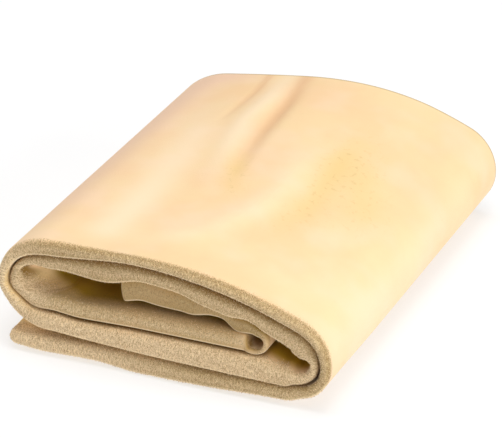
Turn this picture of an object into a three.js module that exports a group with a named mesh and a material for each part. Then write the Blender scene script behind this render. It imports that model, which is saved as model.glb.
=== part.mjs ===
// A chamois leather as it is put away. One soft skin is doubled once, so that its round fold
// faces the front, and the doubled skin is rolled flat from its inner end: a short tongue curls
// back inside, and two full turns lie round it on a tail that carries the whole roll.
//
// The skin is divided where it turns: leaves lie between the turns, and folds are the turns.
// Each stretch is a hairpin of leather, two plies joined by the round front fold and open at
// the back, swept along its part of the roll.
//
// Millimetres. X runs across the bundle, Y from the front folds to the free edges at the back,
// and Z up from the surface that the bundle lies on. The origin is at the middle of its base.

import * as THREE from 'three';

// Overall size of the bundle
const FOLDED_WIDTH = 140;
const FOLDED_LENGTH = 180;

// The leather
const PLY = 1;
const LAYER_GAP = 0.3;

// Thickness of the doubled leather over its two faces, from the outer end of the roll inwards
const TAIL_THICKNESS = 7.8;
const RIGHT_OUTER_THICKNESS = 4.2;
const TOP_THICKNESS = 4.8;
const TOP_LEFT_THICKNESS = 7;
const LEFT_OUTER_THICKNESS = 4;
const LOWER_START_THICKNESS = 8.5;
const LOWER_THICKNESS = 10.5;
const LOWER_END_THICKNESS = 8;
const RIGHT_INNER_THICKNESS = 6.5;
const INNER_TOP_THICKNESS = 8;
const LEFT_INNER_THICKNESS = 5.2;
const FLOOR_THICKNESS = 6.8;
const CURL_THICKNESS = 3;
const TONGUE_THICKNESS = 6.9;

// Hollow between the floor leaf and the leaf above it, and the half height that is left
// inside the inner right turn
const HOLLOW_HEIGHT = 12.5;
const RIGHT_HOLLOW_HALF = 2.9;

// Lengths along the roll
const TAIL_INSET = 5.5;
const TOP_FLAT = 34;
const LOWER_SWELL = 40;
const LOWER_TAPER = 10;
const FLOOR_TAPER = 11;
const CURL_SETBACK = 14.5;
const TONGUE_LENGTH = 62;
const TONGUE_TAPER = 26;

// The back left corner has settled: how far the top falls there, how far across that reaches
// and how fast it fades
const BACK_DROP = 15.4;
const DROP_REACH = 112;
const DROP_FADE = 1.5;

// Facets
const FRONT_FACETS = 8;
const TURN_STEP = THREE.MathUtils.degToRad(10);
const LEAF_STEP = 7.5;

const LEATHER_COLOUR = 0xe8cb98;

// Heights of the stack, from the floor up
const lowerBase = TAIL_THICKNESS + LAYER_GAP;
const floorBase = lowerBase + LOWER_THICKNESS + LAYER_GAP;
const hollowTop = floorBase + FLOOR_THICKNESS + HOLLOW_HEIGHT;
const foldedHeight = hollowTop + INNER_TOP_THICKNESS + LAYER_GAP + TOP_THICKNESS;

// Outline of the roll: a flat base, a round right turn, a crown that falls to the right from a
// short flat, and a round left turn that comes back in on top of the tail
const rightRadius = lowerBase + LOWER_END_THICKNESS + RIGHT_HOLLOW_HALF;
const rightX = FOLDED_WIDTH / 2 - rightRadius;
const leftRadius = (foldedHeight - lowerBase) / 2;
const leftX = -FOLDED_WIDTH / 2 + leftRadius;
const leftZ = lowerBase + leftRadius;
const crownX = leftX + TOP_FLAT;
const crownRun = rightX - crownX;
const crownRise = foldedHeight - rightRadius;
const crownRadius = (crownRise ** 2 - rightRadius ** 2 + crownRun ** 2) / (2 * (crownRise - rightRadius));
const crownAngle = Math.asin(crownRun / (crownRadius - rightRadius));
const crownLength = crownRadius * crownAngle;
const topLength = crownLength + TOP_FLAT;
const leafLength = rightX - leftX;

const front = -FOLDED_LENGTH / 2;
const back = FOLDED_LENGTH / 2;

/** A place on the outline: a point of the outer face and the direction into the roll. */
function place(x, z, inX, inZ) {
  return { x, z, inX, inZ };
}

/** The base at a given x. */
function onBase(x) {
  return place(x, 0, 0, 1);
}

/** The right turn, from the base to the crown. */
function onRightTurn(share) {
  const angle = -Math.PI / 2 + share * (Math.PI - crownAngle);
  const outX = Math.cos(angle);
  const outZ = Math.sin(angle);
  return place(rightX + rightRadius * outX, rightRadius + rightRadius * outZ, -outX, -outZ);
}

/** The top, at a length measured leftwards from the end of the right turn. */
function onTop(length) {
  const angle = Math.max(0, crownAngle - length / crownRadius);
  const flat = Math.max(0, length - crownLength);
  const outX = Math.sin(angle);
  const outZ = Math.cos(angle);
  const z = foldedHeight - crownRadius + crownRadius * outZ;
  return place(crownX + crownRadius * outX - flat, z, -outX, -outZ);
}

/** The left turn, from the top down onto the tail. */
function onLeftTurn(share) {
  const angle = Math.PI / 2 + share * Math.PI;
  const outX = Math.cos(angle);
  const outZ = Math.sin(angle);
  return place(leftX + leftRadius * outX, leftZ + leftRadius * outZ, -outX, -outZ);
}

/** A value that eases from stop to stop, each stop being a share of the stretch and a value. */
function eased(...stops) {
  return (share) => {
    const next = Math.max(1, stops.findIndex(([at]) => at >= share));
    const [from, low] = stops[next - 1];
    const [to, high] = stops[next];
    return low + (high - low) * THREE.MathUtils.smoothstep(share, from, to);
  };
}

const always = (value) => () => value;
const turning = (before, middle, after) => eased([0, before], [0.5, middle], [1, after]);

const rightOuter = turning(TAIL_THICKNESS, RIGHT_OUTER_THICKNESS, TOP_THICKNESS);
const top = eased([0, TOP_THICKNESS], [crownLength / topLength, TOP_THICKNESS], [1, TOP_LEFT_THICKNESS]);
const leftOuter = turning(TOP_LEFT_THICKNESS, LEFT_OUTER_THICKNESS, LOWER_START_THICKNESS);
const lower = eased(
  [0, LOWER_START_THICKNESS],
  [LOWER_SWELL / leafLength, LOWER_THICKNESS],
  [1 - LOWER_TAPER / leafLength, LOWER_THICKNESS],
  [1, LOWER_END_THICKNESS],
);
const rightInner = turning(LOWER_END_THICKNESS, RIGHT_INNER_THICKNESS, INNER_TOP_THICKNESS);
const leftInner = turning(INNER_TOP_THICKNESS, LEFT_INNER_THICKNESS, FLOOR_THICKNESS);

// The tongue lies under the inner top leaf, and the curl joins it to the floor leaf by an arc
// that leaves the floor level and meets the slope of the crown
const tongueAlong = (share) => CURL_SETBACK + share * TONGUE_LENGTH;
const tongueDepth = (share) => top(tongueAlong(share) / topLength) + INNER_TOP_THICKNESS + 2 * LAYER_GAP;
const tongueStart = middleOf(onTop(CURL_SETBACK), tongueDepth(0), CURL_THICKNESS);
const tongueSlope = crownAngle - CURL_SETBACK / crownRadius;
const curlLevel = floorBase + CURL_THICKNESS / 2;
const curlRadius = (tongueStart.z - curlLevel) / (1 + Math.cos(tongueSlope));
const curlX = tongueStart.x - curlRadius * Math.sin(tongueSlope);
const curlAngle = Math.PI - tongueSlope;
const floorLength = curlX - leftX;
const floor = eased(
  [0, FLOOR_THICKNESS],
  [1 - FLOOR_TAPER / floorLength, FLOOR_THICKNESS],
  [1, CURL_THICKNESS],
);
const tongue = eased(
  [0, CURL_THICKNESS],
  [TONGUE_TAPER / TONGUE_LENGTH, TONGUE_THICKNESS],
  [1, TONGUE_THICKNESS],
);

/** The middle of the doubled leather, whose outer face lies a depth inside the outline. */
function middleOf(spot, depth, thickness) {
  const inwards = depth + thickness / 2;
  return { ...spot, x: spot.x + spot.inX * inwards, z: spot.z + spot.inZ * inwards };
}

/** The curl, from the floor leaf up and back to the tongue. */
function onCurl(share) {
  const turned = share * curlAngle;
  const inX = -Math.sin(turned);
  const inZ = Math.cos(turned);
  const outer = curlRadius + CURL_THICKNESS / 2;
  return place(curlX - outer * inX, curlLevel + curlRadius - outer * inZ, inX, inZ);
}

/** The stretches of the skin in order: place on the outline, depth inside that and thickness. */
const stretches = [
  {
    name: 'tail_leaf',
    length: leafLength + leftRadius - TAIL_INSET,
    steps: Math.ceil(leafLength / LEAF_STEP),
    spot: (share) => onBase(THREE.MathUtils.lerp(TAIL_INSET - FOLDED_WIDTH / 2, rightX, share)),
    depth: always(0),
    thickness: always(TAIL_THICKNESS),
  },
  {
    name: 'right_outer_fold',
    length: rightRadius * (Math.PI - crownAngle),
    steps: Math.ceil((Math.PI - crownAngle) / TURN_STEP),
    spot: onRightTurn,
    depth: always(0),
    thickness: rightOuter,
  },
  {
    name: 'top_leaf',
    length: topLength,
    steps: Math.ceil(topLength / LEAF_STEP),
    spot: (share) => onTop(share * topLength),
    depth: always(0),
    thickness: top,
  },
  {
    name: 'left_outer_fold',
    length: leftRadius * Math.PI,
    steps: Math.ceil(Math.PI / TURN_STEP),
    spot: onLeftTurn,
    depth: always(0),
    thickness: leftOuter,
  },
  {
    name: 'lower_leaf',
    length: leafLength,
    steps: Math.ceil(leafLength / LEAF_STEP),
    spot: (share) => onBase(THREE.MathUtils.lerp(leftX, rightX, share)),
    depth: always(lowerBase),
    thickness: lower,
  },
  {
    name: 'right_inner_fold',
    length: (rightRadius - RIGHT_OUTER_THICKNESS) * (Math.PI - crownAngle),
    steps: Math.ceil((Math.PI - crownAngle) / TURN_STEP),
    spot: onRightTurn,
    depth: (share) => rightOuter(share) + LAYER_GAP,
    thickness: rightInner,
  },
  {
    name: 'inner_top_leaf',
    length: topLength,
    steps: Math.ceil(topLength / LEAF_STEP),
    spot: (share) => onTop(share * topLength),
    depth: (share) => top(share) + LAYER_GAP,
    thickness: always(INNER_TOP_THICKNESS),
  },
  {
    name: 'left_inner_fold',
    length: (leftRadius - LEFT_OUTER_THICKNESS) * Math.PI,
    steps: Math.ceil(Math.PI / TURN_STEP),
    spot: onLeftTurn,
    depth: (share) => leftOuter(share) + LAYER_GAP,
    thickness: leftInner,
  },
  {
    name: 'floor_leaf',
    length: floorLength,
    steps: Math.ceil(floorLength / LEAF_STEP),
    spot: (share) => onBase(THREE.MathUtils.lerp(leftX, curlX, share)),
    depth: (share) => lowerBase + lower((share * floorLength) / leafLength) + LAYER_GAP,
    thickness: floor,
  },
  {
    name: 'curl_fold',
    length: curlRadius * curlAngle,
    steps: Math.ceil(curlAngle / TURN_STEP),
    spot: onCurl,
    depth: always(0),
    thickness: always(CURL_THICKNESS),
  },
  {
    name: 'tongue_leaf',
    length: TONGUE_LENGTH,
    steps: Math.ceil(TONGUE_LENGTH / LEAF_STEP) * 2,
    spot: (share) => onTop(tongueAlong(share)),
    depth: tongueDepth,
    thickness: tongue,
  },
];

/** One wall of the hairpin: from the back along one ply, round the front and back along the other. */
function hairpinWall(radius, thickness) {
  const wall = [[-radius, back]];
  for (let facet = 0; facet <= FRONT_FACETS; facet += 1) {
    const angle = Math.PI * (facet / FRONT_FACETS - 0.5);
    wall.push([radius * Math.sin(angle), front + thickness / 2 - radius * Math.cos(angle)]);
  }
  wall.push([radius, back]);
  return wall;
}

/** A point of the even roll, brought down where the back left corner has settled. */
function settled(x, y, z) {
  const across = Math.max(0, 1 - (x + FOLDED_WIDTH / 2) / DROP_REACH);
  const along = (y - front) / FOLDED_LENGTH;
  return [x, y, z * (1 - (BACK_DROP / foldedHeight) * across ** DROP_FADE * along)];
}

/** The closed hairpin section of a stretch at one share of it, as points in space. */
function sectionAt(stretch, share) {
  const thickness = stretch.thickness(share);
  const middle = middleOf(stretch.spot(share), stretch.depth(share), thickness);
  const outside = hairpinWall(thickness / 2, thickness);
  const inside = hairpinWall(thickness / 2 - PLY, thickness).reverse();
  return [...outside, ...inside].map(([rise, y]) =>
    settled(middle.x + middle.inX * rise, y, middle.z + middle.inZ * rise),
  );
}

/** The closed body of a stretch, half a gap short at both ends. */
function stretchGeometry(stretch) {
  const trim = LAYER_GAP / 2 / stretch.length;
  const positions = [];
  const indices = [];
  let around = 0;
  for (let step = 0; step <= stretch.steps; step += 1) {
    const section = sectionAt(stretch, THREE.MathUtils.lerp(trim, 1 - trim, step / stretch.steps));
    around = section.length;
    positions.push(...section.flat());
  }
  for (let step = 0; step < stretch.steps; step += 1) {
    for (let point = 0; point < around; point += 1) {
      const here = step * around + point;
      const beside = step * around + ((point + 1) % around);
      // every long facet is split from its front corner to the next back corner, so that
      // layers that lie on each other have alike facets
      if (point % (around / 2) === 0) {
        indices.push(here, here + around, beside, beside, here + around, beside + around);
      } else {
        indices.push(here, here + around, beside + around, here, beside + around, beside);
      }
    }
  }
  const last = stretch.steps * around;
  for (let point = 0; point < around / 2 - 1; point += 1) {
    const across = around - 1 - point;
    const startCap = [point, point + 1, across - 1, point, across - 1, across];
    const endCap = startCap.map((corner) => last + corner).reverse();
    indices.push(...startCap, ...endCap);
  }
  const geometry = new THREE.BufferGeometry();
  geometry.setAttribute('position', new THREE.Float32BufferAttribute(positions, 3));
  geometry.setIndex(indices);
  geometry.computeVertexNormals();
  return geometry;
}

const chamois = new THREE.Group();
for (const stretch of stretches) {
  const leather = new THREE.MeshStandardMaterial({ color: LEATHER_COLOUR, roughness: 0.95, metalness: 0 });
  const mesh = new THREE.Mesh(stretchGeometry(stretch), leather);
  mesh.name = stretch.name;
  chamois.add(mesh);
}

export default chamois;
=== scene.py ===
"""The looks of a chamois leather: one soft skin, doubled once and rolled flat for storage.

The skin is laid as one grid of points that follows the roll, so that its runs meet without a
step. It is then cut where the bodies part: a tail, an outer turn, an inner turn and a tongue.
Sizes of the skin are in millimetres, in the part's own frame, and meshes are in metres.
"""

import logging
import math
from collections.abc import Callable, Sequence
from dataclasses import dataclass, field
from enum import Enum
from functools import partial
from typing import TypeAlias

import bpy
import numpy as np
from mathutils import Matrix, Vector


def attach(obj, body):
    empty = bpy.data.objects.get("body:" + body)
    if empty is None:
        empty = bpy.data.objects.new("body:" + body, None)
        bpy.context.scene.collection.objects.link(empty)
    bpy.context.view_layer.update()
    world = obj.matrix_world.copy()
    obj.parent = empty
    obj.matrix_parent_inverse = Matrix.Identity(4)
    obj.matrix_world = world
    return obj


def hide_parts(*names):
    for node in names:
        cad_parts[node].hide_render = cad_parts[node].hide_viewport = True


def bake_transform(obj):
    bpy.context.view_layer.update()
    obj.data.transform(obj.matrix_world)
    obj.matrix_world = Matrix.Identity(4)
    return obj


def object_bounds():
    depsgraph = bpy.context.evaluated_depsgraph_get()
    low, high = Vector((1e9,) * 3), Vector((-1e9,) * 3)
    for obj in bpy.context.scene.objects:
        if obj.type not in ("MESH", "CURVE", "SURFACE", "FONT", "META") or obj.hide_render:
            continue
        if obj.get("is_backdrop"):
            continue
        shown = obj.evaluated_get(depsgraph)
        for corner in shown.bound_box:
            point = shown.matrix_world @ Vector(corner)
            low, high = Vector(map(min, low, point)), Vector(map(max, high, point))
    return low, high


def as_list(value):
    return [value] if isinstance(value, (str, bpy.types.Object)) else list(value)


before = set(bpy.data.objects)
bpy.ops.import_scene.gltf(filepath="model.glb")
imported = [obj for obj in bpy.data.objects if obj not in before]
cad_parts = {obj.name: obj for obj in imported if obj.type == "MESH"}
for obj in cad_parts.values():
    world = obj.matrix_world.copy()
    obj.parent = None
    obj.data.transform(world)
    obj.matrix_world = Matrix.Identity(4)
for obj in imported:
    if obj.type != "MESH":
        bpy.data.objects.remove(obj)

LOG = logging.getLogger("chamois")
MM = 0.001
PICTURE_WIDTH = 502
FIBRE_SIDES = 3
FIBRE_FACES = FIBRE_SIDES + 1
NOISE_MIDDLE = 0.5
TINY = 1e-12
# Sockets that go by number, because their names repeat: those of a mix of colours and of random values
MIX_SHARE, MIX_FIRST, MIX_SECOND, MIX_RESULT = 0, 6, 7, 2
RANDOM_LEAST, RANDOM_MOST, RANDOM_NUMBER, RANDOM_CHOICE = 2, 3, 1, 3
SKIN_MAP = "skin"
FRONT_FIELD = "front"
BARE_FIELD = "bare"
NAP_FIELD = "nap"
HOLLOW_SHADE_FIELD = "deep"
SHADE_FIELD = "shade"
EDGE_FIELD = "edge"
PAINTED_RIM_FIELD = "rim"
PINCH_FIELD = "pinch"

Ease: TypeAlias = Callable[[np.ndarray], np.ndarray]
Colour: TypeAlias = tuple[float, float, float, float]
Route: TypeAlias = tuple[tuple[float, float], ...]


class Node(Enum):
    """The stretches of the skin, from the outer end of the roll inwards."""

    TAIL = "tail_leaf"
    RIGHT_OUTER = "right_outer_fold"
    TOP = "top_leaf"
    LEFT_OUTER = "left_outer_fold"
    LOWER = "lower_leaf"
    RIGHT_INNER = "right_inner_fold"
    INNER_TOP = "inner_top_leaf"
    LEFT_INNER = "left_inner_fold"
    FLOOR = "floor_leaf"
    CURL = "curl_fold"
    TONGUE = "tongue_leaf"


class Tone(Enum):
    """Colours laid on the leather in places, each with the name of its field on the mesh; ROSY is partly
    painted shade and PALE partly painted highlight.
    """

    MAUVE = "mauve"
    ROSY = "rosy"
    PALE = "pale"
    GOLDEN = "golden"
    OCHRE = "ochre"


class Body(Enum):
    """The bodies that the skin's runs move with."""

    TAIL = "tail"
    ROLL = "roll"
    TONGUE = "tongue"


@dataclass(frozen=True)
class SkinSizes:
    """Sizes of the folded skin in millimetres, from the outer end of the roll inwards.

    A thickness is that of the doubled leather, over its two faces.
    """

    width: float
    length: float
    ply: float = 1.0
    gap: float = 0.3
    tail: float = 7.8
    right_outer: float = 4.2
    top: float = 4.8
    top_left: float = 7.0
    left_outer: float = 4.0
    lower_start: float = 8.5
    lower: float = 10.5
    lower_end: float = 8.0
    right_inner: float = 6.5
    inner_top: float = 8.0
    left_inner: float = 5.2
    floor: float = 6.8
    curl: float = 3.0
    hollow_height: float = 12.5
    right_hollow_half: float = 2.9
    tail_inset: float = 5.5
    top_flat: float = 34.0
    lower_swell: float = 40.0
    lower_taper: float = 10.0
    floor_step: float = 3.8
    floor_taper: float = 1.0
    curl_setback: float = 15.8
    tongue_length: float = 63.2
    tail_end: float = 2.2
    tail_round_off: float = 0.85
    tongue_end: float = 1.3
    back_drop: float = 15.4
    drop_reach: float = 112.0
    drop_fade: float = 1.5


def smooth(share: np.ndarray) -> np.ndarray:
    """Ease from 0 to 1, level at both ends."""
    share = np.clip(share, 0.0, 1.0)
    return share * share * (3.0 - 2.0 * share)


def unit(vectors: np.ndarray) -> np.ndarray:
    """Return vectors at length 1."""
    return vectors / np.maximum(np.linalg.norm(vectors, axis=-1, keepdims=True), TINY)


def eased(*stops: tuple[float, float]) -> Ease:
    """Make a value that eases from stop to stop.

    Args:
        stops: Shares of a stretch, rising, each with its value.

    Returns:
        A function from shares to values.
    """
    places = np.array([place for place, _ in stops])
    values = np.array([value for _, value in stops])

    def at(share: np.ndarray) -> np.ndarray:
        """Read the eased value.

        Args:
            share: Shares of the stretch.

        Returns:
            The value at each share.
        """
        index = np.clip(np.searchsorted(places, share, side="right") - 1, 0, len(places) - 2)
        part = smooth((share - places[index]) / (places[index + 1] - places[index]))
        return values[index] + (values[index + 1] - values[index]) * part

    return at


def over_turn(start: float, middle: float, end: float) -> Ease:
    """Make a value that eases along a turn by way of the turn's middle."""
    return eased((0.0, start), (0.5, middle), (1.0, end))


def level(value: float) -> Ease:
    """Make a value that stays the same along a stretch."""
    return lambda share: np.full_like(share, value)


def flowing(stops: Sequence[tuple[float, float]]) -> Ease:
    """Make a value that flows through stops without a bump between them.

    Args:
        stops: Places, rising, each with its value; the value is level at a whole number.

    Returns:
        A function from places to values.
    """
    places, values = (np.array(column) for column in zip(*stops))
    steps = np.diff(places)
    slopes = np.diff(values) / steps
    near, far = slopes[:-1], slopes[1:]
    first, second = 2 * steps[1:] + steps[:-1], steps[1:] + 2 * steps[:-1]
    turning = (near * far <= 0) | (places[1:-1] % 1 == 0)
    near, far = np.where(turning, 1, near), np.where(turning, 1, far)
    shared = (first + second) / (first / near + second / far)
    tangents = np.concatenate([[0.0], np.where(turning, 0.0, shared), [0.0]])

    def at(place: np.ndarray) -> np.ndarray:
        """Read the value.

        Args:
            place: Places between the stops.

        Returns:
            The value at each place.
        """
        index = np.clip(np.searchsorted(places, place, side="right") - 1, 0, len(steps) - 1)
        step = steps[index]
        part = np.clip((place - places[index]) / step, 0, 1)
        start, end = values[index], values[index + 1]
        bend = part * (1 - part) * step
        lean = tangents[index] * (1 - part) - tangents[index + 1] * part
        return start + (end - start) * smooth(part) + bend * lean

    return at


@dataclass(frozen=True)
class Line:
    """Places on a face of the roll in the front view, and the directions that point into it."""

    x: np.ndarray
    z: np.ndarray
    in_x: np.ndarray
    in_z: np.ndarray

    def moved_in(self, depth: np.ndarray) -> "Line":
        """Return the line moved into the roll by a depth at each place."""
        return Line(self.x + self.in_x * depth, self.z + self.in_z * depth, self.in_x, self.in_z)


@dataclass(frozen=True)
class Stretch:
    """One stretch of the doubled skin between two turns, or one turn of it.

    Attributes:
        node: The solid that the stretch stands for.
        shares: Where its stations lie, from 0 to 1.
        spot: The outline that it follows.
        depth: How far its outer face lies inside the outline in an even roll.
        thickness: The doubled leather over its two faces in an even roll.
        push: How much further in the layers outside it push it at the front.
        open: How far its plies stand apart, from 0 at a free end, where they meet, to 1.
        round_off: How much of the meeting at a free end the outer ply does, from 0 to 1.
    """

    node: Node
    shares: np.ndarray
    spot: Callable[[np.ndarray], Line]
    depth: Ease
    thickness: Ease
    push: Ease = np.zeros_like
    open: Ease = np.ones_like
    round_off: float = 0.5


@dataclass(frozen=True)
class FoldKnot:
    """How the front fold lies at one place along the skin, in millimetres.

    Attributes:
        node: The stretch that the place is on.
        share: How far along the stretch it is, from 0 to 1.
        outer: How far back the round of the outer ply reaches.
        inner: How far back the round of the inner ply reaches.
        recess: How far the fold stands back from the front of the roll.
        lift: How far the outer ply stands off the layer outside it.
        swell: How much fuller the doubled leather is than in an even roll.
        nap: How much of the nap shows, from 0 to 1.
        shade: How much painted shade darkens the fold towards a greenish brown, from 0 to 1.
        reach: How far the nap reaches over the outer ply, against half the thickness.
        inner_reach: How far the nap reaches over the inner ply, against half the thickness.
        ochre: How far the inner ply has the ochre of the bowl, from 0 to 1.
        dusk: How far behind the fold the painted shade of the hollow sets in.
        outer_pinch: How dark the painted shade in the tight gap outside the fold is, from 0 to 1.
        inner_pinch: How dark the painted shade in the tight gap inside the fold is, from 0 to 1.
    """

    node: Node
    share: float
    outer: float = 2.4
    inner: float = 2.2
    recess: float = 0.0
    lift: float = 0.0
    swell: float = 0.0
    nap: float = 1.0
    shade: float = 0.0
    reach: float = 1.0
    inner_reach: float = 1.0
    ochre: float = 0.0
    dusk: float = 5.0
    outer_pinch: float = 0.0
    inner_pinch: float = 0.0

    @property
    def walk(self) -> float:
        """Return the place as a count of stretches from the end of the tail."""
        return list(Node).index(self.node) + self.share


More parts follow.
